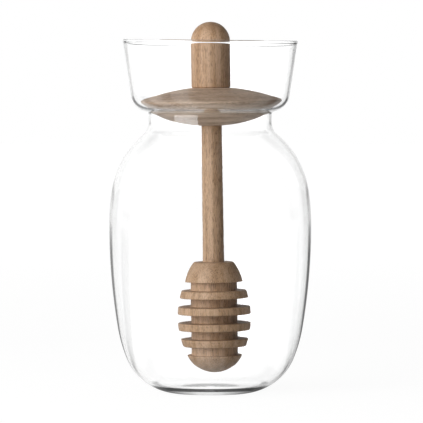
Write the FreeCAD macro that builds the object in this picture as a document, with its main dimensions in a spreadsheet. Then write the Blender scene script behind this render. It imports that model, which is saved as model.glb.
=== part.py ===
"""Honey jar with a dipper: a clear blown-glass jar with a flared collar, and a turned wooden dipper
whose lens-shaped disc closes the neck while its handle stands up out of the collar.

Frame: millimetres, +Z up, origin at the middle of the foot that the jar stands on. The glass is a body
of revolution about Z. The wooden pieces are turned about one common axis, which leans a little,
because the disc only rests on the glass and has settled slightly out of level.
"""
import FreeCAD, Part
import math
import os

import Sketcher

App = FreeCAD
doc = App.newDocument("honey_jar")


# ---------------------------------------------------------------- driving dimensions

DRIVING = {
    # the glass, outside, from the foot upwards (radii of its arcs and the places they pass through)
    "foot_radius": 14,
    "heel_bend": 24,
    "lower_bend": 64,
    "side_bend": 254,
    "body_radius": 43.85,
    "widest_height": 71.75,
    "upper_bend": 126,
    "shoulder_bend": 40,
    "neck_bend": 7,
    "neck_bend_height": 117.5,
    "neck_radius": 26.7,
    "neck_height": 120.9,
    "turn_bend": 1.2,
    "collar_floor_rise": 20,
    "collar_corner_radius": 26.46,
    "collar_corner_bend": 8,
    "collar_lean": 8.2,
    "rim_height": 153.1,
    "lip_radius": 0.7,
    "lip_blend": 2,
    # the glass, inside
    "wall": 1.0,
    "floor_height": 2.1,
    "floor_corner": 16,
    # the lens-shaped disc
    "disc_radius": 30.6,
    "disc_belly_bend": 62,
    "disc_belly_turn": 16,
    "disc_flank_bend": 31,
    "disc_crown_bend": 80,
    "disc_rise": 16.8,
    "disc_edge_round": 0.45,
    "rest_gap": 0.02,
    # the handle above the disc
    "handle_radius": 8.45,
    "handle_length": 28.4,
    "handle_edge_round": 0.3,
    "socket_depth": 12,
    # the stick and its grooved head, measured down from the seam between disc and handle
    "stick_radius": 4.5,
    "head_foot_drop": 123.86,
    "head_middle_drop": 99.46,
    "head_radius": 15.9,
    "head_bend": 37,
    "cap_base_drop": 83.6,
    "cap_top_drop": 75.61,
    "cap_top_radius": 8.5,
    "cap_bend": 18.4,
    "core_radius": 10.05,
    "groove_first_drop": 86.06,
    "groove_width": 3.75,
    "groove_pitch": 7.02,
    "groove_count": 5,
    "ring_edge_round": 0.35,
    # how far the whole dipper leans out of upright
    "lean_angle": 0.8,
}

DERIVED = {
    "flank_centre_radius": "=(disc_belly_bend - disc_flank_bend) * sin(disc_belly_turn * 1deg)",
    "flank_centre_height": "=neck_height + sqrt((disc_flank_bend + turn_bend + wall + rest_gap)^2"
                           " - (neck_radius + turn_bend - flank_centre_radius)^2)",
    "disc_foot_height": "=flank_centre_height - disc_belly_bend"
                        " + (disc_belly_bend - disc_flank_bend) * cos(disc_belly_turn * 1deg)",
    "seam_height": "=disc_foot_height + disc_rise",
    "lean_height": "=flank_centre_height + flank_centre_radius * (flank_centre_height - neck_height)"
                   " / (neck_radius + turn_bend - flank_centre_radius)",
}


def make_sheet():
    """Write every driving dimension, and the few worked out from them, as a named cell."""
    sheet = doc.addObject("Spreadsheet::Sheet", "sizes")
    rows = {**{name: str(value) for name, value in DRIVING.items()}, **DERIVED}
    for row, (name, content) in enumerate(rows.items(), start=1):
        sheet.set(f"A{row}", name)
        sheet.set(f"B{row}", content)
        sheet.setAlias(f"B{row}", name)
    doc.recompute()
    return sheet


sizes = make_sheet()


def size(name):
    """Read one cell of the sheet as a plain number."""
    value = getattr(sizes, name)
    return float(getattr(value, "Value", value))


# ---------------------------------------------------------------- drawing profiles

class Profile:
    """A closed outline in a body's XZ plane, drawn by walking along it.

    Every step starts where the last one ended and in the same direction, so the first guess is already
    smooth; the constraints then tie it to the sheet.
    """

    def __init__(self, body, name, start, heading):
        self.sketch = body.newObject("Sketcher::SketchObject", name)
        self.sketch.AttachmentSupport = (origin_plane(body, "XZ_Plane"), [""])
        self.sketch.MapMode = "FlatFace"
        self.place = App.Vector(start[0], start[1], 0)
        self.heading = heading
        self.steps = {}
        self.last = None

    def face(self, heading):
        """Stop and look another way, in degrees from outwards; the next step starts with a corner."""
        self.heading = heading

    def line(self, name, length, turn=0, smooth=True):
        """Walk straight on for a length, after an optional turn on the spot."""
        self.heading += turn
        angle = math.radians(self.heading)
        finish = self.place + App.Vector(math.cos(angle), math.sin(angle), 0) * length
        edge = self.sketch.addGeometry(Part.LineSegment(self.place, finish))
        self.place = finish
        self._join(name, (edge, 1, 2), smooth and not turn)

    def arc(self, name, radius, turn, smooth=True):
        """Walk round an arc: a positive turn bends to the left, a negative one to the right."""
        side = math.copysign(1, turn)
        to_centre = math.radians(self.heading + 90 * side)
        centre = self.place + App.Vector(math.cos(to_centre), math.sin(to_centre), 0) * radius
        start = self.heading - 90 * side
        finish = start + turn
        circle = Part.Circle(centre, App.Vector(0, 0, 1), radius)
        low, high = sorted((math.radians(start), math.radians(finish)))
        edge = self.sketch.addGeometry(Part.ArcOfCircle(circle, low, high))
        ends = (1, 2) if turn > 0 else (2, 1)
        self.place = centre + App.Vector(math.cos(math.radians(finish)),
                                         math.sin(math.radians(finish)), 0) * radius
        self.heading += turn
        self._join(name, (edge, *ends), smooth)

    def _join(self, name, step, smooth):
        self.steps[name] = step
        if self.last:
            kind = "Tangent" if smooth else "Coincident"
            self.hold(kind, self.last[0], self.last[2], step[0], step[1])
        self.last = step

    def hold(self, *terms):
        """Add one plain constraint to the sketch."""
        return self.sketch.addConstraint(Sketcher.Constraint(*terms))

    def close(self, name):
        """Draw the last straight run back to the first point of the outline."""
        first = next(iter(self.steps.values()))
        home = self.sketch.getPoint(first[0], first[1])
        edge = self.sketch.addGeometry(Part.LineSegment(self.place, home))
        self._join(name, (edge, 1, 2), False)
        self.hold("Coincident", edge, 2, first[0], first[1])

    def point(self, spot):
        """The edge and point number of 'step.start', 'step.end' or 'step.centre'."""
        step, where = spot.split(".")
        edge, start, end = self.steps[step]
        return edge, {"start": start, "end": end, "centre": 3}[where]

    def bind(self, kind, name, expression, *terms):
        """Add a measured constraint and tie its value to the sheet."""
        number = self.hold(kind, *terms)
        self.sketch.renameConstraint(number, name)
        self.sketch.setExpression(f"Constraints.{name}", expression)

    def radius(self, step, expression):
        edge = self.steps[step][0]
        self.bind("Radius", f"{step}_bend", expression, edge, self.sketch.Geometry[edge].Radius)

    def across(self, spot, expression):
        """Hold a point's distance from the axis of revolution."""
        edge, number = self.point(spot)
        now = self.sketch.getPoint(edge, number).x
        self.bind("DistanceX", spot.replace(".", "_") + "_out", expression, -1, 1, edge, number, now)

    def height(self, spot, expression):
        """Hold a point's height above the foot."""
        edge, number = self.point(spot)
        now = self.sketch.getPoint(edge, number).y
        self.bind("DistanceY", spot.replace(".", "_") + "_up", expression, -1, 1, edge, number, now)

    def slope(self, step, expression):
        """Hold a straight run's angle above the horizontal."""
        edge = self.steps[step][0]
        line = self.sketch.Geometry[edge]
        run = line.EndPoint - line.StartPoint
        self.bind("Angle", f"{step}_slope", expression, edge, math.atan2(run.y, run.x))

    def level(self, *spots):
        """Make a straight run level, or two points equally high."""
        if len(spots) == 1:
            self.hold("Horizontal", self.steps[spots[0]][0])
        else:
            self.hold("Horizontal", *self.point(spots[0]), *self.point(spots[1]))

    def upright(self, step):
        self.hold("Vertical", self.steps[step][0])

    def on_axis(self, spot):
        self.hold("PointOnObject", *self.point(spot), -2)

    def at_origin(self, spot):
        self.hold("Coincident", *self.point(spot), -1, 1)

    def revolve(self, body, name):
        """Turn the finished outline once round the Z axis."""
        feature = body.newObject("PartDesign::Revolution", name)
        feature.Profile = self.sketch
        feature.ReferenceAxis = (self.sketch, ["V_Axis"])
        feature.Angle = 360
        return feature


def origin_plane(body, role):
    """One of a body's own three origin planes."""
    return next(item for item in body.Origin.OriginFeatures if item.Role == role)


# ---------------------------------------------------------------- the glass jar

def make_jar():
    """The whole wall in section: foot, round side, neck, collar and lip outside, then back down inside."""
    body = doc.addObject("PartDesign::Body", "jar")
    wall = Profile(body, "wall_section", (0, 0), 0)

    wall.line("foot", size("foot_radius"))
    draw_outside(wall)
    draw_lip(wall)
    draw_inside(wall)
    wall.close("axis")

    wall.at_origin("foot.start")
    wall.level("foot")
    wall.across("foot.end", "sizes.foot_radius")
    hold_shell(wall, "outer", 0)
    hold_shell(wall, "inner", 1)
    hold_collar(wall)
    wall.across("inner_heel.centre", "sizes.foot_radius")
    wall.height("inner_heel.centre", "sizes.heel_bend")
    wall.radius("floor_corner", "sizes.floor_corner")
    wall.level("floor")
    wall.height("floor.end", "sizes.floor_height")
    wall.on_axis("floor.end")
    wall.revolve(body, "blown_glass")
    return body


def draw_outside(wall):
    """Walk up the outside, from the heel over the shoulder and neck to the collar."""
    wall.arc("outer_heel", size("heel_bend"), 66)
    wall.arc("outer_lower", size("lower_bend"), 14.3)
    wall.arc("outer_side", size("side_bend"), 9.7)
    wall.arc("outer_upper", size("upper_bend"), 6.6)
    wall.arc("outer_shoulder", size("shoulder_bend"), 43.1)
    wall.arc("outer_neck", size("neck_bend"), -49.7)
    wall.line("outer_throat", 3.4)
    wall.arc("outer_turn", size("turn_bend"), -70)
    wall.line("outer_floor", 1.8)
    wall.arc("outer_corner", size("collar_corner_bend"), 61.8)
    wall.line("outer_collar", 21.3)


def draw_lip(wall):
    """The fire-polished bead round the rim: a hollow blend, the bead, and a blend again."""
    wall.arc("outer_blend", size("lip_blend"), -22)
    wall.arc("lip", size("lip_radius"), 224)
    wall.arc("inner_blend", size("lip_blend"), -22)


def draw_inside(wall):
    """Walk back down the inside, one wall thickness in, to the thicker level floor."""
    glass = size("wall")
    wall.line("inner_collar", 21.3)
    wall.arc("inner_corner", size("collar_corner_bend") - glass, -61.8)
    wall.line("inner_floor", 1.8)
    wall.arc("inner_turn", size("turn_bend") + glass, 70)
    wall.line("inner_throat", 3.4)
    wall.arc("inner_neck", size("neck_bend") + glass, 49.7)
    wall.arc("inner_shoulder", size("shoulder_bend") - glass, -43.1)
    wall.arc("inner_upper", size("upper_bend") - glass, -6.6)
    wall.arc("inner_side", size("side_bend") - glass, -9.7)
    wall.arc("inner_lower", size("lower_bend") - glass, -14.3)
    wall.arc("inner_heel", size("heel_bend") - glass, -36.2)
    wall.arc("floor_corner", size("floor_corner"), -29.8)
    wall.line("floor", 17.4)


def hold_shell(wall, side, inset):
    """Tie one face of the wall, from heel to collar, to the sheet; inset is 1 for the inner face."""
    thinner = " - sizes.wall" * inset
    thicker = " + sizes.wall" * inset
    for step in ("heel", "lower", "side", "upper", "shoulder"):
        wall.radius(f"{side}_{step}", f"sizes.{step}_bend{thinner}")
    for step in ("neck", "turn"):
        wall.radius(f"{side}_{step}", f"sizes.{step}_bend{thicker}")
    widest = f"{side}_side." + ("start" if inset else "end")
    narrowest = f"{side}_neck." + ("start" if inset else "end")
    wall.across(widest, f"sizes.body_radius{thinner}")
    wall.height(widest, "sizes.widest_height")
    wall.level(f"{side}_side.centre", widest)
    wall.across(narrowest, f"sizes.neck_radius{thinner}")
    wall.height(narrowest, "sizes.neck_bend_height")
    wall.level(f"{side}_neck.centre", narrowest)
    wall.height(f"{side}_turn." + ("end" if inset else "start"), "sizes.neck_height")
    wall.radius(f"{side}_corner", f"sizes.collar_corner_bend{thinner}")
    wall.across(f"{side}_corner.centre", "sizes.collar_corner_radius")


def hold_collar(wall):
    """Tie the collar's floor, its leaning side and the bead on the rim to the sheet."""
    wall.slope("outer_floor", "sizes.collar_floor_rise * 1deg")
    wall.slope("outer_collar", "90deg - sizes.collar_lean * 1deg")
    wall.hold("Parallel", wall.steps["outer_floor"][0], wall.steps["inner_floor"][0])
    wall.hold("Parallel", wall.steps["outer_collar"][0], wall.steps["inner_collar"][0])
    wall.radius("outer_blend", "sizes.lip_blend")
    wall.radius("inner_blend", "sizes.lip_blend")
    wall.radius("lip", "sizes.lip_radius")
    wall.height("lip.centre", "sizes.rim_height - sizes.lip_radius")
    edge, centre = wall.point("lip.centre")
    wall.bind("Distance", "lip_inset", "sizes.wall / 2", edge, centre, wall.steps["outer_collar"][0],
              size("wall") / 2)


# ---------------------------------------------------------------- the turned wooden pieces

def ease_edges(body, feature, name, expression, wanted):
    """Round the circular edges of a turned piece that pass the test of radius and height."""
    doc.recompute()
    edges = []
    for number, edge in enumerate(feature.Shape.Edges, start=1):
        box = edge.BoundBox
        full_circle = not edge.Degenerated and edge.isClosed() and box.ZLength < 0.001
        if full_circle and wanted(box.XLength / 2, box.Center.z):
            edges.append(f"Edge{number}")
    easing = body.newObject("PartDesign::Fillet", name)
    easing.Base = (feature, edges)
    easing.setExpression("Radius", expression)
    body.Tip = easing


def lean(body):
    """Tip a wooden piece about the point on the axis round which the disc can roll on the glass."""
    body.Placement = App.Placement(App.Vector(), App.Rotation(App.Vector(0, -1, 0), size("lean_angle")))
    body.setExpression(".Placement.Rotation.Angle", "sizes.lean_angle * 1deg")
    body.setExpression(".Placement.Base.x", "sizes.lean_height * sin(sizes.lean_angle * 1deg)")
    body.setExpression(".Placement.Base.z", "sizes.lean_height * (1 - cos(sizes.lean_angle * 1deg))")


def make_disc():
    """The lens that closes the neck: rounder below than above, bored right through for the stick."""
    body = doc.addObject("PartDesign::Body", "lid_disc")
    lens = Profile(body, "lens_section", (size("stick_radius"), size("disc_foot_height")), 4)
    lens.arc("belly", size("disc_belly_bend"), 12)
    lens.arc("flank", size("disc_flank_bend"), 27)
    lens.line("edge", 1, turn=47)
    lens.face(158)
    lens.arc("crown", size("disc_crown_bend"), 16, smooth=False)
    lens.line("seat", 4, turn=6)
    lens.close("bore")

    lens.radius("belly", "sizes.disc_belly_bend")
    lens.on_axis("belly.centre")
    lens.height("belly.centre", "sizes.disc_foot_height + sizes.disc_belly_bend")
    lens.across("belly.start", "sizes.stick_radius")
    lens.radius("flank", "sizes.disc_flank_bend")
    lens.across("flank.centre", "sizes.flank_centre_radius")
    lens.across("flank.end", "sizes.disc_radius")
    lens.upright("edge")
    lens.radius("crown", "sizes.disc_crown_bend")
    lens.on_axis("crown.centre")
    lens.across("crown.end", "sizes.handle_radius")
    lens.height("crown.end", "sizes.seam_height")
    lens.level("seat")
    lens.across("seat.end", "sizes.stick_radius")
    turned = lens.revolve(body, "turned_lens")

    rim = size("disc_radius")
    ease_edges(body, turned, "rim_easing", "sizes.disc_edge_round",
               lambda radius, height: abs(radius - rim) < 0.01)
    lean(body)
    return body


def make_handle():
    """The short thick knob above the disc, with a domed top and a blind socket for the stick."""
    body = doc.addObject("PartDesign::Body", "handle")
    knob = Profile(body, "knob_section", (size("stick_radius"), size("seam_height")), 0)
    radius = size("handle_radius")
    knob.line("foot", radius - size("stick_radius"))
    knob.line("side", size("handle_length") - radius, turn=90)
    knob.arc("dome", radius, 90)
    knob.line("core", size("handle_length") - size("socket_depth"), turn=90)
    knob.line("socket_end", size("stick_radius"), turn=90)
    knob.close("socket_wall")

    knob.across("foot.start", "sizes.stick_radius")
    knob.height("foot.start", "sizes.seam_height")
    knob.level("foot")
    knob.across("foot.end", "sizes.handle_radius")
    knob.upright("side")
    knob.radius("dome", "sizes.handle_radius")
    knob.on_axis("dome.end")
    knob.height("dome.end", "sizes.seam_height + sizes.handle_length")
    knob.on_axis("core.end")
    knob.height("core.end", "sizes.seam_height + sizes.socket_depth")
    knob.level("socket_end")
    knob.upright("socket_wall")
    turned = knob.revolve(body, "turned_knob")

    outside = radius
    seam = size("seam_height")
    ease_edges(body, turned, "foot_easing", "sizes.handle_edge_round",
               lambda around, height: abs(around - outside) < 0.01 and abs(height - seam) < 0.01)
    lean(body)
    return body


def make_dipper():
    """Stick and head in one turned piece: a plain egg-shaped blank, then equal grooves cut into it."""
    body = doc.addObject("PartDesign::Body", "dipper")
    seam = size("seam_height")
    blank = Profile(body, "blank_section", (0, seam - size("head_foot_drop")), 0)
    blank.arc("tip", 13.5, 62.5)
    blank.arc("belly", size("head_bend"), 51)
    blank.face(101)
    blank.arc("cap", size("cap_bend"), 30, smooth=False)
    blank.line("cap_top", 4, turn=49)
    blank.line("stick", 88, turn=-90)
    blank.line("stick_end", size("stick_radius"), turn=90)
    blank.close("axis")

    blank.on_axis("tip.start")
    blank.height("tip.start", "sizes.seam_height - sizes.head_foot_drop")
    blank.on_axis("tip.centre")
    blank.radius("belly", "sizes.head_bend")
    blank.across("belly.centre", "sizes.head_radius - sizes.head_bend")
    blank.height("belly.centre", "sizes.seam_height - sizes.head_middle_drop")
    blank.height("belly.end", "sizes.seam_height - sizes.cap_base_drop")
    blank.radius("cap", "sizes.cap_bend")
    blank.across("cap.end", "sizes.cap_top_radius")
    blank.height("cap.end", "sizes.seam_height - sizes.cap_top_drop")
    blank.level("cap_top")
    blank.across("cap_top.end", "sizes.stick_radius")
    blank.upright("stick")
    blank.height("stick.end", "sizes.seam_height + sizes.socket_depth")
    blank.level("stick_end")
    blank.on_axis("stick_end.end")
    blank.revolve(body, "turned_blank")

    rings = cut_grooves(body)
    core = size("core_radius")
    half = size("groove_width") / 2 + 0.1
    highest = seam - size("groove_first_drop") + half
    lowest = seam - size("groove_first_drop") - 4 * size("groove_pitch") - half
    ease_edges(body, rings, "ring_easing", "sizes.ring_edge_round",
               lambda radius, height: radius > core + 0.5 and lowest < height < highest)
    lean(body)
    return body


def cut_grooves(body):
    """Cut the top groove down to the core, then repeat it down the head at an even pitch."""
    middle = size("seam_height") - size("groove_first_drop")
    width = size("groove_width")
    start = (size("core_radius"), middle - width / 2)
    slot = Profile(body, "groove_section", start, 0)
    slot.line("lower", 8)
    slot.line("mouth", width, turn=90)
    slot.line("upper", 8, turn=90)
    slot.close("core")
    slot.across("lower.start", "sizes.core_radius")
    slot.height("lower.start", "sizes.seam_height - sizes.groove_first_drop - sizes.groove_width / 2")
    slot.level("lower")
    slot.across("lower.end", "sizes.head_radius + 2")
    slot.upright("mouth")
    slot.level("upper")
    slot.upright("core")
    slot.height("mouth.end", "sizes.seam_height - sizes.groove_first_drop + sizes.groove_width / 2")

    groove = body.newObject("PartDesign::Groove", "top_groove")
    groove.Profile = slot.sketch
    groove.ReferenceAxis = (slot.sketch, ["V_Axis"])
    groove.Angle = 360
    doc.recompute()

    rings = body.newObject("PartDesign::LinearPattern", "grooves")
    rings.Originals = [groove]
    rings.Direction = (slot.sketch, ["V_Axis"])
    rings.Reversed = True
    rings.setExpression("Length", "sizes.groove_pitch * (sizes.groove_count - 1)")
    rings.setExpression("Occurrences", "sizes.groove_count")
    body.Tip = rings
    return rings


# ---------------------------------------------------------------- build, check and write

GLASS_DENSITY = 2.23e-6
WOOD_DENSITY = 0.70e-6


def check(bodies):
    """Stop if any object of the document failed, or any piece is not one sound solid."""
    for item in doc.Objects:
        if {"Invalid", "Error"} & set(item.State):
            raise RuntimeError(f"{item.Name} failed: {item.State}")
    for body in bodies:
        shape = body.Shape
        if shape.isNull() or not shape.isValid() or len(shape.Solids) != 1:
            raise RuntimeError(f"{body.Label} is not one sound solid")


def report(bodies):
    """Print each piece's volume, height and weight, and any overlap between two pieces."""
    for body in bodies:
        density = GLASS_DENSITY if body.Label == "jar" else WOOD_DENSITY
        box = body.Shape.optimalBoundingBox()
        print(f"{body.Label}: {body.Shape.Volume:.0f} mm3, {body.Shape.Volume * density:.3f} kg,"
              f" z {box.ZMin:.2f} to {box.ZMax:.2f}, widest {box.XLength:.2f}")
    for index, one in enumerate(bodies):
        for other in bodies[index + 1:]:
            shared = one.Shape.common(other.Shape).Volume
            apart = one.Shape.distToShape(other.Shape)[0]
            print(f"{one.Label} and {other.Label}: {shared:.4f} mm3 shared, {apart:.3f} mm apart")


def write(bodies):
    """Export each piece under its own name."""
    os.makedirs("parts", exist_ok=True)
    for body in bodies:
        body.Shape.exportStep(f"parts/{body.Label}.step")


bodies = [make_jar(), make_disc(), make_handle(), make_dipper()]
doc.recompute()
check(bodies)
report(bodies)
write(bodies)
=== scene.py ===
# %% [markdown]
# # A clear glass honey jar with an oak dipper
#
# The object is a blown-glass jar whose collar flares out above its neck. A lens-shaped oak disc rests
# in the neck. A domed handle stands on the disc, and a stick with a grooved head hangs under it. The
# jar is empty, so what there is to see is the glass itself and the wood in and behind it.
#
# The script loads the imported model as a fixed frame. It then turns finer meshes for the same pieces,
# because clear glass shows every flat facet, and a lathe leaves small marks that a plain solid lacks.

# %% Loading the frame
import cmath
import math

import bpy
from mathutils import Matrix, Vector, noise


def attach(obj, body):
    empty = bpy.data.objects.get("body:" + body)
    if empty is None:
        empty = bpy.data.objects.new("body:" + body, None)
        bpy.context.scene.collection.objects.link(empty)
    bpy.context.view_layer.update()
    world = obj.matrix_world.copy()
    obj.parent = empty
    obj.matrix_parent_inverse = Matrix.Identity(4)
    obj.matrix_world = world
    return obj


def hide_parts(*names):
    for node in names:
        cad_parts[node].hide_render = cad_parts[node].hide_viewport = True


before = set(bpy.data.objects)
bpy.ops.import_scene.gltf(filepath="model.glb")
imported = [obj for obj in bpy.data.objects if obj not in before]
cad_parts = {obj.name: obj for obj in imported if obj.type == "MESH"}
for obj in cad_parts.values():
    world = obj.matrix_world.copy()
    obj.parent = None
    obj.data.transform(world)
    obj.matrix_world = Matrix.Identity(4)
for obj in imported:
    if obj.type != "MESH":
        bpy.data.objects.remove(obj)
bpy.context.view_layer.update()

print("nodes:", sorted(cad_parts))

# %% [markdown]
# ## Units
#
# Blender works in metres and a glassblower or a turner in millimetres, so every size below is written
# in millimetres and multiplied by MM where it becomes a mesh, a lamp or a pattern.

# %% Millimetres and degrees
MM = 0.001


def degrees(angle):
    """An angle in degrees as Blender wants it."""
    return math.radians(angle)


print("one millimetre is", MM, "and a right angle is", degrees(90))

# %% [markdown]
# ## The camera
#
# The view is from far away through a long lens: the rim is at eye level, so it shows as a thin line,
# and the foot is seen from just five degrees above. Three lengths say all of it: how high the eye is,
# how far away it is, and how much of the scene the view takes in at the jar.

# %% Placing the camera
SENSOR_WIDTH = 36
EYE_HEIGHT = 152.7
EYE_DISTANCE = 1668
EYE_OFFSET = 0.56
VIEW_SPAN = 183.3
AIM_HEIGHT = 78.7
NEAREST_SEEN = 100
FARTHEST_SEEN = 20000

camera_data = bpy.data.cameras.new("long_lens")
camera_data.sensor_width = SENSOR_WIDTH
camera_data.lens = SENSOR_WIDTH * EYE_DISTANCE / VIEW_SPAN
camera_data.clip_start = NEAREST_SEEN * MM
camera_data.clip_end = FARTHEST_SEEN * MM
camera = bpy.data.objects.new("camera", camera_data)
bpy.context.scene.collection.objects.link(camera)
camera.location = Vector((EYE_OFFSET, -EYE_DISTANCE, EYE_HEIGHT)) * MM
aim = Vector((EYE_OFFSET, 0, AIM_HEIGHT)) * MM
camera.rotation_euler = (aim - camera.location).to_track_quat("-Z", "Y").to_euler()
bpy.context.scene.camera = camera
bpy.context.scene.view_settings.view_transform = "Standard"
print(f"lens {camera_data.lens:.0f} mm, looking down {90 - math.degrees(camera.rotation_euler.x):.2f} degrees")

# %% [markdown]
# ## Colours and nodes
#
# A designer picks colours as hex codes, as a screen shows them. Blender mixes light, so it needs
# linear numbers, and one function does that step everywhere. A second small function adds a shader
# node with its settings and links in one line, so that a material reads like a list of steps.

# %% Two small helpers
WHITE = "ffffff"


def linear(code):
    """The linear colour, with alpha 1, of an sRGB hex code such as 'c8a78a'."""
    parts = [int(code[i:i + 2], 16) / 255 for i in (0, 2, 4)]
    return (*[p / 12.92 if p <= 0.04045 else ((p + 0.055) / 1.055) ** 2.4 for p in parts], 1.0)


def add(tree, kind, inputs=None, **settings):
    """Add a node. inputs maps a socket's name or number to a value or to another node's output."""
    made = tree.nodes.new("ShaderNode" + kind)
    for name, value in settings.items():
        setattr(made, name, value)
    for key, value in (inputs or {}).items():
        if isinstance(value, bpy.types.NodeSocket):
            tree.links.new(value, made.inputs[key])
        else:
            made.inputs[key].default_value = value
    return made


print("mid grey on a screen is", round(linear("808080")[0], 3), "as light")

# %% [markdown]
# ## What glass shows
#
# Clear glass has no colour of its own. One sees it only by what it bends and mirrors. In a studio it
# stands in front of a white background, and the rest of the room is dim: the middle of the glass lets
# the white through, and the edges, where light runs along inside the wall and is mirrored on the way,
# show the dim room as thin dark lines.
#
# Light Path tells the two apart in any view. A ray that was only bent meets a level above 1, which is
# brighter than plain white. No real backdrop is: at 1, each face takes a little of the light away and
# lays a faint reflection of the room over it, and the middle of the glass is greyer. A thick bead such
# as the rim bends some rays steeply upwards, and those meet the dim ceiling. A ray that was mirrored
# meets the room, which is dark at the front, where its people stand, and darker on the right than on
# the left.

# %% What rays from the glass meet
THROUGH = 1.35
CEILING = 0.1
CEILING_RISE = (0.26, 0.42)
FRONT_WAY = (0.29, -0.96, 0)
FRONT_EDGE = (0.6, 0.78)
FRONT_LEVEL = 0.08
RIGHT_WAY = (1, 0, 0)
RIGHT_EDGE = (0.0, 0.7)
RIGHT_SHARE = 0.5


def glass_light(tree, path, room, towards):
    """The level that rays from the glass meet: above white when only bent, the room's when mirrored."""
    flat = add(tree, "VectorMath", {0: towards}, operation="NORMALIZE")
    facing = add(tree, "VectorMath", {0: flat.outputs["Vector"], 1: FRONT_WAY}, operation="DOT_PRODUCT")
    front = add(tree, "MapRange", {0: facing.outputs["Value"], 1: FRONT_EDGE[0], 2: FRONT_EDGE[1],
                                   3: 1.0, 4: FRONT_LEVEL}, interpolation_type="SMOOTHSTEP")
    room = add(tree, "Math", {0: room.outputs[0], 1: front.outputs[0]}, operation="MULTIPLY")
    aside = add(tree, "VectorMath", {0: flat.outputs["Vector"], 1: RIGHT_WAY}, operation="DOT_PRODUCT")
    right = add(tree, "MapRange", {0: aside.outputs["Value"], 1: RIGHT_EDGE[0], 2: RIGHT_EDGE[1],
                                   3: 1.0, 4: RIGHT_SHARE})
    room = add(tree, "Math", {0: room.outputs[0], 1: right.outputs[0]}, operation="MULTIPLY")
    mirrored = add(tree, "Math", {0: path.outputs["Glossy Depth"], 1: 0.5}, operation="GREATER_THAN")
    steep = add(tree, "SeparateXYZ", {0: towards})
    through = add(tree, "MapRange", {0: steep.outputs["Z"], 1: CEILING_RISE[0], 2: CEILING_RISE[1],
                                     3: THROUGH, 4: CEILING})
    return add(tree, "Mix", {0: mirrored.outputs[0], 2: through.outputs[0], 3: room.outputs[0]})


print("bent rays meet", THROUGH, "and the front of the room is", FRONT_LEVEL)

# %% [markdown]
# ## Light panels and gaps
#
# A studio has light panels standing round the table, with dark gaps between them. Mirrored in the
# wall of the jar, the gaps become the dark lines along its sides and the panels the bright ones next
# to them. A cosine of the compass bearing gives evenly spaced panels, on the floor and in the world
# alike. The gaps are a little darker on the right, so the jar's right side has the stronger line.
#
# There are eight panels, so that views from the front and from any whole number of eighth turns meet
# the gaps at the same places. From in between, the lines at the sides fall differently. The dark front
# and the darker right stay in place when the camera moves, so the lines' strength changes as well.

# %% The panels round the horizon
PANELS = 8
PANEL_EDGE = (-0.6, -0.1)
PANEL_LEVEL = 1.1
GAP_LEFT = 0.3
GAP_RIGHT = 0.2
GAP_TURN = 0.2


def gaps(tree, place):
    """The room's level by bearing: light panels with dark gaps, darker on the right."""
    gap = add(tree, "MapRange", {0: place.outputs["X"], 1: -GAP_TURN, 2: GAP_TURN, 3: GAP_LEFT, 4: GAP_RIGHT})
    bearing = add(tree, "Math", {0: place.outputs["Y"], 1: place.outputs["X"]}, operation="ARCTAN2")
    turns = add(tree, "Math", {0: bearing.outputs[0], 1: PANELS}, operation="MULTIPLY")
    swing = add(tree, "Math", {0: turns.outputs[0]}, operation="COSINE")
    return add(tree, "MapRange", {0: swing.outputs[0], 1: PANEL_EDGE[0], 2: PANEL_EDGE[1],
                                  3: gap.outputs[0], 4: PANEL_LEVEL}, interpolation_type="SMOOTHSTEP")


print(PANELS, "panels, one every", 360 / PANELS, "degrees")

# %% [markdown]
# ## The world
#
# The world gives the camera a plain white. It gives the glass the room: a darker band at the horizon,
# where the panels' gaps show most, panels alone above it, and a dim ceiling. It gives the wood a soft
# grey, stronger from the left and from above, which fills the shadows of the key lamp. Light Path
# tells these three apart, so one world serves them all.

# %% White behind, a dim room around
BAND_HEIGHT = 0.01
BAND_SPREAD = 0.045
BAND_REST = 0.35
CEILING_EDGE = (0.35, 0.6)
CEILING_MIRRORED = 0.25
FILL_LEFT = 0.3
FILL_RIGHT = 0.06
FILL_TURN = 0.7
FILL_ABOVE = 0.28
FILL_ABOVE_EDGE = (0.5, 0.8)

world = bpy.data.worlds.new("white_and_dim_room")
world.use_nodes = True
bpy.context.scene.world = world
tree = world.node_tree
tree.nodes.clear()
path = add(tree, "LightPath")
direction = add(tree, "TexCoord")
way = add(tree, "SeparateXYZ", {0: direction.outputs["Generated"]})

# the room that mirrored rays meet
off_band = add(tree, "Math", {0: way.outputs["Z"], 1: BAND_HEIGHT}, operation="SUBTRACT")
off_band = add(tree, "Math", {0: off_band.outputs[0]}, operation="ABSOLUTE")
rise = add(tree, "MapRange", {0: off_band.outputs[0], 1: 0.0, 2: BAND_SPREAD, 3: BAND_REST, 4: 1.0})
room = add(tree, "Mix", {0: rise.outputs[0], 2: gaps(tree, way).outputs[0], 3: PANEL_LEVEL})
high = add(tree, "MapRange", {0: way.outputs["Z"], 1: CEILING_EDGE[0], 2: CEILING_EDGE[1]},
           interpolation_type="SMOOTHSTEP")
room = add(tree, "Mix", {0: high.outputs[0], 2: room.outputs[0], 3: CEILING_MIRRORED})
glass_sees = glass_light(tree, path, room, direction.outputs["Generated"])

# the grey that fills the shadows on the wood
fill = add(tree, "MapRange", {0: way.outputs["X"], 1: -FILL_TURN, 2: FILL_TURN, 3: FILL_LEFT, 4: FILL_RIGHT})
above = add(tree, "MapRange", {0: way.outputs["Z"], 1: FILL_ABOVE_EDGE[0], 2: FILL_ABOVE_EDGE[1]},
            interpolation_type="SMOOTHSTEP")
fill = add(tree, "Mix", {0: above.outputs[0], 2: fill.outputs[0], 3: FILL_ABOVE})

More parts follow.
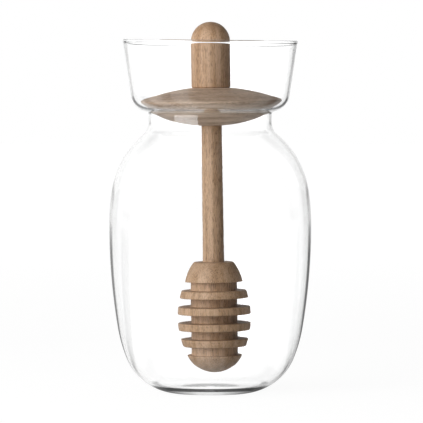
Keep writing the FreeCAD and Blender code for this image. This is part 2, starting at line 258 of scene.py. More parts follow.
# rays from the glass, rays from the wood, and rays straight from the camera
bent = add(tree, "Math", {0: path.outputs["Is Glossy Ray"], 1: path.outputs["Is Transmission Ray"]},
           operation="MAXIMUM")
off_wood = add(tree, "Math", {0: path.outputs["Diffuse Depth"], 1: 0.5}, operation="LESS_THAN")
bent = add(tree, "Math", {0: bent.outputs[0], 1: off_wood.outputs[0]}, operation="MULTIPLY")
level = add(tree, "Mix", {0: bent.outputs[0], 2: fill.outputs[0], 3: glass_sees.outputs[0]})
level = add(tree, "Mix", {0: path.outputs["Is Camera Ray"], 2: level.outputs[0], 3: 1.0})
light = add(tree, "Background", {"Color": linear(WHITE), "Strength": level.outputs[0]})
add(tree, "OutputWorld", {"Surface": light.outputs[0]})
print(len(tree.nodes), "nodes in the world")

# %% [markdown]
# ## The key lamp
#
# One large soft box stands at the front left, a little higher than the jar. It could be several small
# lamps, but a single large one gives the turned wood a broad light side, a soft turn into shade, and
# one clear pale patch mirrored in the neck.

# %% One soft box
KEY_SIDE = 1000
KEY_PLACE = (-745, -690, 420)
KEY_TARGET = (0, 0, 80)
KEY_WATTS = 11.5

lamp_data = bpy.data.lights.new("key_lamp", "AREA")
lamp_data.shape = "SQUARE"
lamp_data.size = KEY_SIDE * MM
lamp_data.energy = KEY_WATTS
lamp = bpy.data.objects.new("key_lamp", lamp_data)
bpy.context.scene.collection.objects.link(lamp)
lamp.location = Vector(KEY_PLACE) * MM
aim = Vector(KEY_TARGET) * MM - lamp.location
lamp.rotation_euler = aim.to_track_quat("-Z", "Y").to_euler()
print(f"the key lamp stands {aim.length:.2f} m from the jar")

# %% [markdown]
# ## The floor
#
# The jar stands on a wide roll of matt white paper. Matt paper scatters light evenly, so it shows no
# reflection of the jar, just a faint shadow. Part of it is a glow, so that it is white to the camera
# without more light on the object, and the rest is plain paper that takes the shadow.
#
# To rays from the glass it is the room's floor, painted into the glow: a painted reflection of the panels
# and their gaps, pale close to the jar and pale again far away, and a painted shadow of the jar right under the
# foot.

# %% The sheet
FLOOR_RADIUS = 4000
FLOOR_STEPS = 96
FOOT_GAP = 0.05

mesh = bpy.data.meshes.new("floor")
edge = [2 * math.pi * k / FLOOR_STEPS for k in range(FLOOR_STEPS)]
mesh.from_pydata([(FLOOR_RADIUS * MM * math.cos(a), FLOOR_RADIUS * MM * math.sin(a), 0) for a in edge],
                 [], [list(range(FLOOR_STEPS))])
floor = bpy.data.objects.new("floor", mesh)
bpy.context.scene.collection.objects.link(floor)
floor.location.z = -FOOT_GAP * MM
print("the floor is", 2 * FLOOR_RADIUS * MM, "m across")

# %% [markdown]
# ## Paper that is white and still takes a shadow
#
# A mix of two shaders does it. The matt one is the real paper. The glow is seen by the camera and by
# the glass only, so it puts no light on the wood.

# %% Matt white paper
PAPER_COLOUR = "f4f4f4"
GLOW_SHARE = 0.85
GLOW_NEAR = 1.09
GLOW_FAR = 1.16
GLOW_EDGE = (0.3, 1.5)
CLOSE_BY = (0.03, 0.06)
FAR_AWAY = (0.9, 2.0)
FAR_SHARE = 0.88
# the painted shadow of the jar under the foot, in the glow that the glass sees
UNDER_FOOT = (0.023, 0.028)
UNDER_TURN = (0.005, 0.018)
UNDER_MIDDLE = 0.85
UNDER_SIDES = 0.25
EYE_OF_FLOOR = (0, 0, 0.06)

paper = bpy.data.materials.new("matt_white_paper")
paper.use_nodes = True
tree = paper.node_tree
tree.nodes.clear()
path = add(tree, "LightPath")
spot = add(tree, "TexCoord")
place = add(tree, "SeparateXYZ", {0: spot.outputs["Object"]})
away = add(tree, "VectorMath", {0: spot.outputs["Object"]}, operation="LENGTH")

# the panels' gaps are a painted reflection in the glow, from just outside the foot to where the far floor pales
close = add(tree, "MapRange", {0: away.outputs["Value"], 1: CLOSE_BY[0], 2: CLOSE_BY[1]},
            interpolation_type="SMOOTHSTEP")
room = add(tree, "Mix", {0: close.outputs[0], 2: PANEL_LEVEL, 3: gaps(tree, place).outputs[0]})
far = add(tree, "MapRange", {0: away.outputs["Value"], 1: FAR_AWAY[0], 2: FAR_AWAY[1], 3: 0.0, 4: FAR_SHARE})
room = add(tree, "Mix", {0: far.outputs[0], 2: room.outputs[0], 3: PANEL_LEVEL})

# under the foot the glow holds a painted shadow of the jar, darker at the sides than in the middle
off_middle = add(tree, "Math", {0: place.outputs["X"]}, operation="ABSOLUTE")
shaded = add(tree, "MapRange", {0: off_middle.outputs[0], 1: UNDER_TURN[0], 2: UNDER_TURN[1],
                                3: UNDER_MIDDLE, 4: UNDER_SIDES})
under = add(tree, "MapRange", {0: away.outputs["Value"], 1: UNDER_FOOT[0], 2: UNDER_FOOT[1],
                               3: shaded.outputs[0], 4: 1.0}, interpolation_type="SMOOTHSTEP")
room = add(tree, "Math", {0: room.outputs[0], 1: under.outputs[0]}, operation="MULTIPLY")
lifted = add(tree, "VectorMath", {0: spot.outputs["Object"], 1: EYE_OF_FLOOR}, operation="ADD")
glass_sees = glass_light(tree, path, room, lifted.outputs["Vector"])

# the glow for the camera and the glass, and real paper for everything else
seen = add(tree, "Math", {0: path.outputs["Is Camera Ray"], 1: path.outputs["Is Glossy Ray"]},
           operation="MAXIMUM")
seen = add(tree, "Math", {0: seen.outputs[0], 1: path.outputs["Is Transmission Ray"]},
           operation="MAXIMUM")
share = add(tree, "Math", {0: seen.outputs[0], 1: GLOW_SHARE}, operation="MULTIPLY")
white = add(tree, "MapRange", {0: away.outputs["Value"], 1: GLOW_EDGE[0], 2: GLOW_EDGE[1],
                               3: GLOW_NEAR, 4: GLOW_FAR})
strength = add(tree, "Mix", {0: path.outputs["Is Camera Ray"], 2: glass_sees.outputs[0], 3: white.outputs[0]})
matt = add(tree, "BsdfDiffuse", {"Color": linear(PAPER_COLOUR)})
glow = add(tree, "Emission", {"Color": linear(WHITE), "Strength": strength.outputs[0]})
both = add(tree, "MixShader", {0: share.outputs[0], 1: matt.outputs[0], 2: glow.outputs[0]})
add(tree, "OutputMaterial", {"Surface": both.outputs[0]})
floor.data.materials.append(paper)
print(len(tree.nodes), "nodes in the paper")

# %% [markdown]
# ## The shape of the glass
#
# A glassblower's curve has no corners: each bend runs smoothly into the next. It is drawn here as
# circles that touch one another. Where two circles touch is on the line through their centres, so a
# few radii and centres give the whole outline with no guessing. A point of the outline is one complex
# number, distance from the axis + height * 1j, because adding and turning are then one step each.

# %% Circles that touch
FEWEST_STEPS = 3
WIDEST_STEP = 6


def crossing(one, far_one, two, far_two, upper):
    """Where a circle round one and a circle round two cross; upper picks the higher crossing."""
    gap = two - one
    along = (far_one ** 2 - far_two ** 2 + abs(gap) ** 2) / (2 * abs(gap))
    aside = math.sqrt(far_one ** 2 - along ** 2)
    unit = gap / abs(gap)
    found = [one + unit * complex(along, sign * aside) for sign in (1, -1)]
    return max(found, key=lambda p: p.imag if upper else -p.imag)


def touch(one, two, radius):
    """Where the circle round one, of that radius, touches a circle round two."""
    return one + (two - one) / abs(two - one) * radius


def bend(centre, radius, start, finish, turn, step):
    """Points on an arc from start to finish, bending left (1) or right (-1), about a step apart."""
    first = cmath.phase(start - centre)
    sweep = (cmath.phase(finish - centre) - first) * turn % (2 * math.pi)
    count = max(FEWEST_STEPS, math.ceil(radius * sweep / min(step, radius * degrees(WIDEST_STEP))))
    return [centre + cmath.rect(radius, first + turn * sweep * k / count) for k in range(count + 1)]


print("a quarter turn of 10 mm has", len(bend(0, 10, 10, 10j, 1, 1)), "points")

# %% [markdown]
# ## From the foot to the neck
#
# The heel, the long lower side, the side, the upper side, the shoulder and the neck are six circles.
# The heel stands on the foot, the side and the upper side share the widest height, and the neck has
# its own place. That fixes four of them, and each of the other two touches its neighbours.

# %% The centres of the wall
FOOT_RADIUS = 14
HEEL_BEND = 24
LOWER_BEND = 64
SIDE_BEND = 254
BODY_RADIUS = 43.85
WIDEST_HEIGHT = 71.75
UPPER_BEND = 126
SHOULDER_BEND = 40
NECK_BEND = 7
NECK_BEND_HEIGHT = 117.5
NECK_RADIUS = 26.7
NECK_HEIGHT = 120.9
TURN_BEND = 1.2

heel = complex(FOOT_RADIUS, HEEL_BEND)
side = complex(BODY_RADIUS - SIDE_BEND, WIDEST_HEIGHT)
lower = crossing(heel, LOWER_BEND - HEEL_BEND, side, SIDE_BEND - LOWER_BEND, True)
upper = complex(BODY_RADIUS - UPPER_BEND, WIDEST_HEIGHT)
neck = complex(NECK_RADIUS + NECK_BEND, NECK_BEND_HEIGHT)
shoulder = crossing(upper, UPPER_BEND - SHOULDER_BEND, neck, SHOULDER_BEND + NECK_BEND, False)
turn = complex(NECK_RADIUS + TURN_BEND, NECK_HEIGHT)
print(f"lower side round {lower:.2f}, shoulder round {shoulder:.2f}")

# %% [markdown]
# ## The collar and its rim
#
# Above the neck the glass turns sharply outwards into the collar's floor, rounds a soft corner and
# climbs to the rim, leaning out a little. The rim was melted in a flame after it was cut, and melted
# glass draws itself into a bead. Two small hollow arcs blend the bead into the wall.

# %% The collar's corner and the bead
WALL = 1.0
COLLAR_RISE = 20
CORNER_RADIUS = 26.46
CORNER_BEND = 8
COLLAR_LEAN = 8.2
RIM_HEIGHT = 153.1
LIP_RADIUS = 0.7
LIP_BLEND = 2

# the collar's floor runs straight from the turn to the corner, rising a little
along = cmath.rect(1, degrees(COLLAR_RISE))
upwards = along * 1j
reach = (CORNER_RADIUS - (turn + upwards * (TURN_BEND + CORNER_BEND)).real) / along.real
corner = turn + upwards * (TURN_BEND + CORNER_BEND) + along * reach

# the collar's side leans outwards, and the bead's middle lies in the middle of its wall
climb = cmath.rect(1, degrees(90 - COLLAR_LEAN))
outwards = climb / 1j
middle = corner + outwards * (CORNER_BEND - WALL / 2)
bead = middle + climb * (RIM_HEIGHT - LIP_RADIUS - middle.imag) / climb.imag
drop = math.sqrt((LIP_BLEND + LIP_RADIUS) ** 2 - (LIP_BLEND + WALL / 2) ** 2)
blend_out = bead - climb * drop + outwards * (LIP_BLEND + WALL / 2)
blend_in = bead - climb * drop - outwards * (LIP_BLEND + WALL / 2)
lip = [(blend_out, LIP_BLEND, blend_out - outwards, touch(blend_out, bead, LIP_BLEND), -1),
       (bead, LIP_RADIUS, touch(bead, blend_out, LIP_RADIUS), touch(bead, blend_in, LIP_RADIUS), 1),
       (blend_in, LIP_BLEND, touch(blend_in, bead, LIP_BLEND), blend_in + outwards, -1)]
print(f"the rim is {2 * (bead.real + LIP_RADIUS):.1f} mm across")

# %% [markdown]
# ## Two faces of one wall
#
# The inside of blown glass follows the outside at an even distance, so it has the same centres with
# radii that are a wall larger or smaller. One function gives the arcs of either face.

# %% The outside and the inside
def wall_face(inset):
    """The arcs from heel to collar, that far inside the glass: (centre, radius, start, finish, turn)."""
    heel_r, lower_r, side_r = HEEL_BEND - inset, LOWER_BEND - inset, SIDE_BEND - inset
    upper_r, shoulder_r = UPPER_BEND - inset, SHOULDER_BEND - inset
    neck_r, turn_r, corner_r = NECK_BEND + inset, TURN_BEND + inset, CORNER_BEND - inset
    heel_end = touch(lower, heel, lower_r)
    lower_end = touch(side, lower, side_r)
    widest = side + side_r
    upper_end = touch(upper, shoulder, upper_r)
    shoulder_end = touch(shoulder, neck, shoulder_r)
    return [(heel, heel_r, heel - 1j * heel_r, heel_end, 1),
            (lower, lower_r, heel_end, lower_end, 1),
            (side, side_r, lower_end, widest, 1),
            (upper, upper_r, widest, upper_end, 1),
            (shoulder, shoulder_r, upper_end, shoulder_end, 1),
            (neck, neck_r, shoulder_end, neck - neck_r, -1),
            (turn, turn_r, turn - turn_r, turn + upwards * turn_r, -1),
            (corner, corner_r, corner - upwards * corner_r, corner + outwards * corner_r, 1)]


outside = wall_face(0)
inside = [(centre, radius, finish, start, -way)
          for centre, radius, start, finish, way in wall_face(WALL)[:0:-1]]
print(len(outside), "arcs outside and", len(inside), "inside")

# %% [markdown]
# ## The thick bottom
#
# Glass gathers at the bottom of a blown jar. The wall keeps its thickness down the heel as far as a
# faint ring, and below the ring it swells smoothly into the floor. It could be one more arc, but a
# smooth swell between two thicknesses has no edge that would show as a line.

# %% The swell and the floor
FLOOR_HEIGHT = 2.1
RING_ANGLE = 64
RING_SPREAD = 10
SWELL_STEPS = 60

swell_top = cmath.phase(touch(lower, heel, LOWER_BEND - WALL) - heel)
swell = []
for k in range(SWELL_STEPS + 1):
    angle = swell_top + (-math.pi / 2 - swell_top) * k / SWELL_STEPS
    share = min(1, max(0, 0.5 + (degrees(-RING_ANGLE) - angle) / degrees(RING_SPREAD)))  # 0 above the ring
    thick = WALL + (FLOOR_HEIGHT - WALL) * share ** 2 * (3 - 2 * share)
    swell.append(heel + cmath.rect(HEEL_BEND - thick, angle))
print(f"the floor is {swell[-1].imag:.2f} mm thick")

# %% [markdown]
# ## The mark under the foot
#
# While the rim is worked, a blown jar is held by a rod stuck to its foot. The mark it leaves is ground
# out to a small round hollow, which shows from above as a little lens in the floor.

# %% A shallow hollow
MARK_WIDTH = 6
MARK_DEPTH = 0.8

mark_radius = (MARK_DEPTH ** 2 + MARK_WIDTH ** 2 / 4) / (2 * MARK_DEPTH)
mark = complex(0, MARK_DEPTH - mark_radius)
hollow = [(mark, mark_radius, 1j * MARK_DEPTH, complex(MARK_WIDTH / 2, 0), -1)]
print(f"the hollow is part of a ball of {mark_radius:.2f} mm radius")

# %% [markdown]
# ## One closed outline
#
# The outline starts on the axis in the hollow, goes out round the foot, up the outside, over the bead,
# down the inside and back to the axis on the floor. Points that fall together where arcs meet are
# taken once, so the mesh has no faces without area.

# %% The outline of the glass
GLASS_STEP = 0.8
SAME_POINT = 0.005

points = []
for centre, radius, start, finish, way in hollow + outside + lip + inside:
    points += bend(centre, radius, start, finish, way, GLASS_STEP)
points += swell
outline = points[:1] + [p for last, p in zip(points, points[1:]) if abs(p - last) > SAME_POINT]
outline.append(1j * FLOOR_HEIGHT)
print(len(outline), "points round the glass wall")

# %% [markdown]
# ## A lathe
#
# All four pieces are round, so one function turns every outline. Blender's Screw modifier could do it,
# but here the points of the wooden pieces are also moved in and out by a few hundredths of a millimetre,
# the way a tool in the hand leaves the wood, and the ends on the axis close to a single point.

# %% Turning an outline
ON_AXIS = 0.001
WANDER_ROUND = 0.35
WANDER_UP = 0.9


def turned(name, outline, steps, uneven=0.0):
    """Turn an outline of points (radius + height * 1j, in mm) round the Z axis.

    An outline that starts off the axis is closed into a ring. uneven is how far, in mm, the surface
    may stray in or out.
    """
    verts, rings = [], []
    for point in outline:
        radius, height = point.real, point.imag
        if radius < ON_AXIS:
            rings.append([len(verts)])
            verts.append((0, 0, height * MM))
            continue
        rings.append(list(range(len(verts), len(verts) + steps)))
        for k in range(steps):
            a = 2 * math.pi * k / steps
            x, y = radius * math.cos(a), radius * math.sin(a)
            stray = noise.noise(Vector((x * WANDER_ROUND, y * WANDER_ROUND, height * WANDER_UP)))
            grow = 1 + uneven * stray / radius
            verts.append((x * grow * MM, y * grow * MM, height * MM))
    if len(rings[0]) > 1:
        rings.append(rings[0])
    faces = []
    for low, high in zip(rings, rings[1:]):
        for k in range(steps):
            n = (k + 1) % steps
            if len(low) == 1:
                faces.append((low[0], high[n], high[k]))
            elif len(high) == 1:
                faces.append((low[k], low[n], high[0]))
            else:
                faces.append((low[k], low[n], high[n], high[k]))
    mesh = bpy.data.meshes.new(name)
    mesh.from_pydata(verts, [], faces)
    mesh.shade_smooth()
    mesh.update()
    piece = bpy.data.objects.new(name, mesh)
    bpy.context.scene.collection.objects.link(piece)
    print(name, "has", len(verts), "points and", len(faces), "faces")
    return piece


# %% [markdown]
# ## The jar
#
# The glass is turned with many steps, because a facet would show as a bright or dark stripe. Its rim
# isn't quite level, as on most blown jars: the glass above the shoulder is shifted up on one side and
# down on the other, more and more towards the rim.

# %% Turning the glass
GLASS_STEPS = 160
RIM_TILT = 0.55
TILT_FROM = 120

glass = turned("glass_jar", outline, GLASS_STEPS)
for vert in glass.data.vertices:
    share = max(0, vert.co.z / MM - TILT_FROM) / (RIM_HEIGHT - TILT_FROM)
    vert.co.z -= math.tan(degrees(RIM_TILT)) * vert.co.x * share
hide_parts("jar")
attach(glass, "root")
print(f"the rim is {RIM_TILT} degrees out of level")

# %% [markdown]
# ## Borosilicate glass
#
# Borosilicate is the hard clear glass of laboratory ware. It was blown, and nothing but air has touched
# its faces since it melted, so they are perfectly smooth: roughness is 0, and the eye sees sharp
# reflections. It bends light a little less than window glass does. A trace of grey-green shows only
# where light runs a long way inside the wall, so the tint is in the volume, not on the surface.
#
# Light that falls through onto the wood and the floor could be traced as well, but it would be grainy.
# Shadow rays and scattered rays pass straight through instead, as they nearly do through a thin wall.

# %% Blown borosilicate glass
BOROSILICATE_IOR = 1.47
THIN_WALL = "f8f9f9"
EDGE_TINT = "c4c8c7"
TINT_PER_METRE = 30.0

borosilicate = bpy.data.materials.new("blown_borosilicate_glass")
borosilicate.use_nodes = True
tree = borosilicate.node_tree
tree.nodes.clear()
path = add(tree, "LightPath")
clear = add(tree, "Math", {0: path.outputs["Is Shadow Ray"], 1: path.outputs["Is Diffuse Ray"]},
            operation="MAXIMUM")
body = add(tree, "BsdfPrincipled", {"Base Color": linear(WHITE), "Roughness": 0.0,
                                    "IOR": BOROSILICATE_IOR, "Transmission Weight": 1.0})
open_way = add(tree, "BsdfTransparent", {"Color": linear(THIN_WALL)})
both = add(tree, "MixShader", {0: clear.outputs[0], 1: body.outputs[0], 2: open_way.outputs[0]})
tint = add(tree, "VolumeAbsorption", {"Color": linear(EDGE_TINT), "Density": TINT_PER_METRE})
add(tree, "OutputMaterial", {"Surface": both.outputs[0], "Volume": tint.outputs[0]})
glass.data.materials.append(borosilicate)
print(borosilicate.name, "on", glass.name)

# %% [markdown]
# ## Where the disc comes to rest
#
# The disc, the handle and the stick with its head are turned about one axis. The disc only rests on
# the glass: the round flank of the lens touches the round turn of the neck. So the distance between
# the centres of those two circles is known, and it gives the height of everything made of wood.
#
# The disc has settled a little out of level, so the whole dipper leans by less than a degree. As it
# tips, the flank slides on the glass at both sides at once. It can do that only about the point of the
# axis where the lines through the touching circles' centres meet, and that point is the pivot.

# %% The resting height and the lean
BELLY_BEND = 62
BELLY_TURN = 16
FLANK_BEND = 31
DISC_RISE = 16.8
REST_GAP = 0.02
LEAN = 0.8

flank_shift = BELLY_BEND - FLANK_BEND
flank_out = flank_shift * math.sin(degrees(BELLY_TURN))
turn_out = NECK_RADIUS + TURN_BEND - flank_out
rest = FLANK_BEND + TURN_BEND + WALL + REST_GAP
flank = complex(flank_out, NECK_HEIGHT + math.sqrt(rest ** 2 - turn_out ** 2))
disc_foot = flank.imag - BELLY_BEND + flank_shift * math.cos(degrees(BELLY_TURN))
seam = disc_foot + DISC_RISE
lean_height = flank.imag + flank_out * (flank.imag - NECK_HEIGHT) / turn_out
lean = (Matrix.Translation((0, 0, lean_height * MM)) @ Matrix.Rotation(degrees(-LEAN), 4, "Y")
        @ Matrix.Translation((0, 0, -lean_height * MM)))
print(f"disc foot {disc_foot:.2f}, seam {seam:.2f}, leaning about {lean_height:.2f} mm")

# %% [markdown]
# ## Turned edges
#
# No turned edge is really sharp. The tool or the sandpaper takes it off, and the small round that is
# left catches the light as a thin line. Blender's Bevel modifier could do it, but on an outline the
# same step is a short curve at each corner. Long straight runs are then cut into short pieces, so that
# the slight unevenness of the lathe has points to move.

# %% Easing corners and filling long runs
SHARPEST_KEPT = 20
MOST_OF_A_RUN = 0.45
EASING = (0, 0.25, 0.5, 0.75, 1)


def eased(points, reach):
    """Round every sharp corner of an outline with a small curve that starts a reach before it."""
    made = points[:1]
    for before, corner, after in zip(points, points[1:], points[2:]):
        back, on = before - corner, after - corner
        if abs(cmath.phase(-on / back)) < degrees(SHARPEST_KEPT):
            made.append(corner)
            continue
        start = corner + back * min(reach / abs(back), MOST_OF_A_RUN)
        finish = corner + on * min(reach / abs(on), MOST_OF_A_RUN)
        made += [start * (1 - t) ** 2 + corner * 2 * t * (1 - t) + finish * t ** 2 for t in EASING]
    return made + points[-1:]


def filled(points, step):
    """Break long straight runs into pieces no longer than a step."""
    made = points[:1]
    for last, point in zip(points, points[1:]):
        count = max(1, math.ceil(abs(point - last) / step))
        made += [last + (point - last) * k / count for k in range(1, count + 1)]
    return made


print("a square corner is eased to", len(eased([0, 10, 10 + 10j], 1)), "points")

# %% [markdown]
# ## The disc
#
# In section the disc is a lens: a flat belly below, a rounder flank that sits in the glass, a thin
# edge and a flat crown above. A hole for the stick goes through its middle.

# %% Turning the disc
DISC_RADIUS = 30.6
CROWN_BEND = 80
DISC_EDGE = 0.6
BORE_RADIUS = 4.5
HANDLE_RADIUS = 8.45
WOOD_STEPS = 128
WOOD_STEP = 1.2
SANDED_UNEVEN = 0.05

belly = 1j * (disc_foot + BELLY_BEND)
crown = 1j * (seam - math.sqrt(CROWN_BEND ** 2 - HANDLE_RADIUS ** 2))


def out_at(centre, radius, out, side):
    """The point of a circle at a distance out from the axis, on its upper (1) or lower (-1) side."""
    return complex(out, centre.imag + side * math.sqrt(radius ** 2 - (out - centre.real) ** 2))


belly_end = touch(belly, flank, BELLY_BEND)
lens = [complex(BORE_RADIUS, seam), complex(BORE_RADIUS, disc_foot + DISC_RISE / 2)]
lens += bend(belly, BELLY_BEND, out_at(belly, BELLY_BEND, BORE_RADIUS, -1), belly_end, 1, WOOD_STEP)
lens += bend(flank, FLANK_BEND, belly_end, out_at(flank, FLANK_BEND, DISC_RADIUS, -1), 1, WOOD_STEP)[1:]
lens += bend(crown, CROWN_BEND, out_at(crown, CROWN_BEND, DISC_RADIUS, 1),
             out_at(crown, CROWN_BEND, HANDLE_RADIUS, 1), 1, WOOD_STEP)
disc = turned("lid_disc_oak", filled(eased(lens, DISC_EDGE), WOOD_STEP), WOOD_STEPS, SANDED_UNEVEN)

# %% [markdown]
# ## The handle
#
# The handle is a straight knob with a half ball on top. Its foot is eased a little more than the other
# pieces' edges are, so that a fine shadow marks the joint with the disc. A blind hole takes the end of
# the stick.

# %% Turning the handle
HANDLE_LENGTH = 28.4
HANDLE_EDGE = 0.8
SOCKET_DEPTH = 12
FINE_STEP = 0.8

top = 1j * (seam + HANDLE_LENGTH - HANDLE_RADIUS)
knob = [1j * (seam + SOCKET_DEPTH), complex(BORE_RADIUS, seam + SOCKET_DEPTH), complex(BORE_RADIUS, seam),
        complex(HANDLE_RADIUS, seam)]
knob += bend(top, HANDLE_RADIUS, top + HANDLE_RADIUS, top + 1j * HANDLE_RADIUS, 1, FINE_STEP)
knob[-1] = 1j * knob[-1].imag
handle = turned("handle_oak", filled(eased(knob, HANDLE_EDGE), WOOD_STEP), WOOD_STEPS, SANDED_UNEVEN)

# %% [markdown]
# ## The shape of the head
#
# The grooved head is an egg: a long belly that closes in a round tip. The tip is a circle whose centre
# is on the axis and which touches the belly, so its radius can be worked out from the head's length.

# %% The belly and the tip
HEAD_FOOT_DROP = 123.86
HEAD_MIDDLE_DROP = 99.46
HEAD_RADIUS = 15.9
HEAD_BEND = 37

head_foot = seam - HEAD_FOOT_DROP
head = complex(HEAD_RADIUS - HEAD_BEND, seam - HEAD_MIDDLE_DROP)
height = HEAD_FOOT_DROP - HEAD_MIDDLE_DROP
tip_bend = (HEAD_BEND ** 2 - head.real ** 2 - height ** 2) / (2 * (HEAD_BEND - height))
tip = 1j * (head_foot + tip_bend)
tip_end = touch(head, tip, HEAD_BEND)


def head_at(height):
    """The outside of the head at a height: the round tip at first, then the long belly."""
    if height < tip_end.imag:
        return complex(math.sqrt(tip_bend ** 2 - (height - tip.imag) ** 2), height)
    return complex(head.real + math.sqrt(HEAD_BEND ** 2 - (height - head.imag) ** 2), height)


print(f"the tip is round by {tip_bend:.2f} mm, and meets the belly at height {tip_end.imag:.2f}")

# %% [markdown]
# ## Five grooves and a cap
#
# Honey clings in the grooves. A narrow tool was pressed straight in five times, down to a core of even
# thickness, which leaves four rings, the tip below them and the cap above. The outline visits them in
# turn, from the tip upwards. The stick above the cap is a trace thinner at the top than at the foot,
# and its last stretch is hidden in the disc and the handle.

# %% Turning the stick and its head
CORE_RADIUS = 10.05
GROOVE_FIRST_DROP = 86.06
GROOVE_WIDTH = 3.75
GROOVE_PITCH = 7.02
GROOVE_COUNT = 5
RING_STEP = 1.1
RING_EDGE = 0.4
CAP_BASE_DROP = 83.6
CAP_TOP_DROP = 75.61
CAP_TOP_RADIUS = 8.5
CAP_BEND = 18.4
CAP_STEP = 1.0
STICK_TOP = 4.38
STICK_FOOT = 4.65
SOCKET_SLACK = 0.1
GROOVED_UNEVEN = 0.1

grooves = [seam - GROOVE_FIRST_DROP - GROOVE_PITCH * k for k in range(GROOVE_COUNT)][::-1]
first = head_at(grooves[0] - GROOVE_WIDTH / 2)
dipper_line = bend(tip, tip_bend, 1j * head_foot, first, 1, FINE_STEP)
dipper_line[0] = 1j * head_foot
for middle, following in zip(grooves, grooves[1:] + [None]):
    ring = middle + GROOVE_WIDTH / 2
    dipper_line += [complex(CORE_RADIUS, middle - GROOVE_WIDTH / 2), complex(CORE_RADIUS, ring)]
    end = following - GROOVE_WIDTH / 2 if following else seam - CAP_BASE_DROP
    count = math.ceil((end - ring) / RING_STEP)
    dipper_line += [head_at(ring + (end - ring) * k / count) for k in range(count + 1)]
cap_base, cap_top = dipper_line[-1], complex(CAP_TOP_RADIUS, seam - CAP_TOP_DROP)
across = cap_top - cap_base
cap = (cap_base + cap_top) / 2 + 1j * across / abs(across) * math.sqrt(CAP_BEND ** 2 - abs(across) ** 2 / 4)
dipper_line += bend(cap, CAP_BEND, cap_base, cap_top, 1, CAP_STEP)[1:]
stick_end = seam + SOCKET_DEPTH - SOCKET_SLACK
dipper_line += [complex(STICK_FOOT, seam - CAP_TOP_DROP), complex(STICK_TOP, disc_foot),
                complex(STICK_TOP, stick_end), 1j * stick_end]
dipper = turned("dipper_oak", filled(eased(dipper_line, RING_EDGE), WOOD_STEP), WOOD_STEPS, GROOVED_UNEVEN)

# %% [markdown]
# ## Tipping the pieces and putting them in the frame
#
# Each piece was turned upright and is now tipped as a whole. That way its own Z axis stays the axis
# of the lathe, and the grain of the wood can follow it. Edges that turn by more than fifty degrees stay
# crisp, and everything flatter is shaded smooth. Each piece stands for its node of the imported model.

# %% Tipping and naming the pieces
CRISP_EDGE = 50

for piece, node, slot in ((disc, "lid_disc", "oak_disc"), (handle, "handle", "oak_turned"),
                          (dipper, "dipper", "oak_turned")):
    piece.data.set_sharp_from_angle(angle=degrees(CRISP_EDGE))
    piece.matrix_world = lean
    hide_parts(node)
    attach(piece, "root")
print("triangles:", {piece.name: 2 * len(piece.data.polygons) for piece in (disc, handle, dipper)})

# %% [markdown]
# ## Oiled oak
#
# Oak grows in yearly rings: a porous band in spring, a dense one in summer. On a turned piece the
# bands run along the grain, a few millimetres wide, and the pores show as short dark dashes on the
# sides and as dark dots where the tool has cut across the grain. Oil makes all of it a little darker
# and deeper, yet leaves the surface matt: its gloss is weaker than varnish and very broad.
#
# An image of wood would be flat and would show a seam. Stretched noise fills the solid instead, so the
# grain runs through every groove and over every edge as it does in one piece of wood.

# %% Oak
# raw wood has a roughness near 0.7 and a specular level of 0.5; the oil smooths it and fills its pores
OILED_ROUGHNESS = 0.55
OILED_SPECULAR = 0.4

# widths and lengths in mm; fibres are far finer than this and are drawn as the bundles that show
PATCH = (14, 60)
FIBRE = (0.45, 9)
PORE = (0.3, 2.4)

# how much of each goes into the tone, and where in the noise it begins and ends
NOISE_RANGE = (0.3, 0.7)
PATCH_TONE = 0.25
FIBRE_TONE = 0.35
BAND_EDGE = (0.34, 0.66)
PORE_EDGE = (0.51, 0.63)
SPRING_EDGE = (0.1, 0.9)
PORES_IN_SUMMER = 0.25
PORES_IN_SPRING = 0.65
END_EDGE = (0.25, 1.0)
END_SHARE = 0.45
END_GRAIN = "8a6a4c"
RELIEF = 0.06
RELIEF_STRENGTH = 0.5


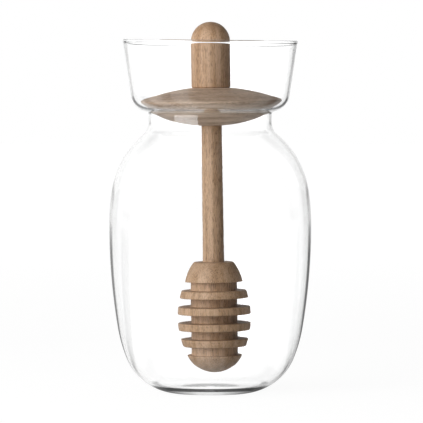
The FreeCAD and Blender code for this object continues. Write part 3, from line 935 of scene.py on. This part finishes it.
def oak(name, along, grain, pale, deep, pore):
    """Oiled oak whose grain runs along an axis, 'X' or 'Z', from pale and deep wood and pore colours.

    grain is how wide and how long its bands are, in mm, and how many times broader than they are thick.
    """
    made = bpy.data.materials.new(name)
    made.use_nodes = True
    tree = made.node_tree
    tree.nodes.clear()
    place = add(tree, "TexCoord").outputs["Object"]

    def stretched(across, length, broad=1):
        """Object coordinates in units that are across mm wide and length mm long."""
        wide, long = 1 / (across * MM), 1 / (length * MM)
        scale = (long, wide / broad, wide) if along == "X" else (wide, wide, long)
        return add(tree, "VectorMath", {0: place, 1: scale}, operation="MULTIPLY").outputs["Vector"]

    # the tone: yearly bands, fine fibres and slow patches, added up
    rings = add(tree, "TexNoise", {"Vector": stretched(*grain), "Scale": 1.0, "Detail": 2.0,
                                   "Roughness": 0.55, "Distortion": 0.4})
    bands = add(tree, "MapRange", {0: rings.outputs[0], 1: BAND_EDGE[0], 2: BAND_EDGE[1]})
    fibre = add(tree, "TexNoise", {"Vector": stretched(*FIBRE), "Scale": 1.0, "Detail": 3.0})
    thread = add(tree, "MapRange", {0: fibre.outputs[0], 1: NOISE_RANGE[0], 2: NOISE_RANGE[1],
                                    3: -FIBRE_TONE, 4: FIBRE_TONE})
    tone = add(tree, "Math", {0: bands.outputs[0], 1: thread.outputs[0]}, operation="ADD")
    drift = add(tree, "TexNoise", {"Vector": stretched(*PATCH), "Scale": 1.0, "Detail": 2.0})
    shade = add(tree, "MapRange", {0: drift.outputs[0], 1: NOISE_RANGE[0], 2: NOISE_RANGE[1],
                                   3: -PATCH_TONE, 4: PATCH_TONE})
    tone = add(tree, "Math", {0: tone.outputs[0], 1: shade.outputs[0]}, operation="ADD")
    wood = add(tree, "Mix", {0: tone.outputs[0], 6: linear(pale), 7: linear(deep)}, data_type="RGBA")

    # the pores: real ones are about 0.2 mm wide, too fine to show, and are drawn half as wide again
    cells = add(tree, "TexNoise", {"Vector": stretched(*PORE), "Scale": 1.0, "Detail": 1.0})
    holes = add(tree, "MapRange", {0: cells.outputs[0], 1: PORE_EDGE[0], 2: PORE_EDGE[1]},
                interpolation_type="SMOOTHSTEP")
    spring = add(tree, "MapRange", {0: bands.outputs[0], 1: SPRING_EDGE[0], 2: SPRING_EDGE[1],
                                    3: PORES_IN_SUMMER, 4: PORES_IN_SPRING})
    holes = add(tree, "Math", {0: holes.outputs[0], 1: spring.outputs[0]}, operation="MULTIPLY")
    wood = add(tree, "Mix", {0: holes.outputs[0], 6: wood.outputs[2], 7: linear(pore)}, data_type="RGBA")

    # end grain drinks more oil, so it is darker where the surface faces along the grain
    facing = add(tree, "NewGeometry")
    across = add(tree, "VectorMath", {0: facing.outputs["Normal"], 1: (1, 0, 0) if along == "X" else (0, 0, 1)},
                 operation="DOT_PRODUCT")
    across = add(tree, "Math", {0: across.outputs["Value"]}, operation="ABSOLUTE")
    end = add(tree, "MapRange", {0: across.outputs[0], 1: END_EDGE[0], 2: END_EDGE[1], 3: 0.0, 4: END_SHARE})
    wood = add(tree, "Mix", {0: end.outputs[0], 6: wood.outputs[2], 7: linear(END_GRAIN)}, data_type="RGBA")

    # fibres stand up and pores lie open by a few hundredths of a millimetre
    relief = add(tree, "Math", {0: thread.outputs[0], 1: holes.outputs[0]}, operation="SUBTRACT")
    bump = add(tree, "Bump", {"Height": relief.outputs[0], "Strength": RELIEF_STRENGTH,
                              "Distance": RELIEF * MM})
    body = add(tree, "BsdfPrincipled", {"Base Color": wood.outputs[2], "Roughness": OILED_ROUGHNESS,
                                        "Specular IOR Level": OILED_SPECULAR, "Normal": bump.outputs["Normal"]})
    add(tree, "OutputMaterial", {"Surface": body.outputs[0]})
    print(name, "has", len(tree.nodes), "nodes")
    return made


# %% [markdown]
# ## Two cuts of the same wood
#
# The handle and the stick were turned with the grain upright, and show long narrow bands. The disc was
# cut from a board, with the grain lying level, and shows broad flat bands on its faces. It is also a
# little greyer and paler, as sanded board is next to turned stock.

# %% Oiled oak on the pieces
oak_turned = oak("oiled_oak_turned", "Z", (3.2, 120), "d2af90", "b8926e", "6b4e38")
oak_disc = oak("oiled_oak_disc", "X", (1.7, 60, 9), "dec4ad", "b6987f", "705845")
disc.data.materials.append(oak_disc)
handle.data.materials.append(oak_turned)
dipper.data.materials.append(oak_turned)
print({piece.name: piece.data.materials[0].name for piece in (disc, handle, dipper)})
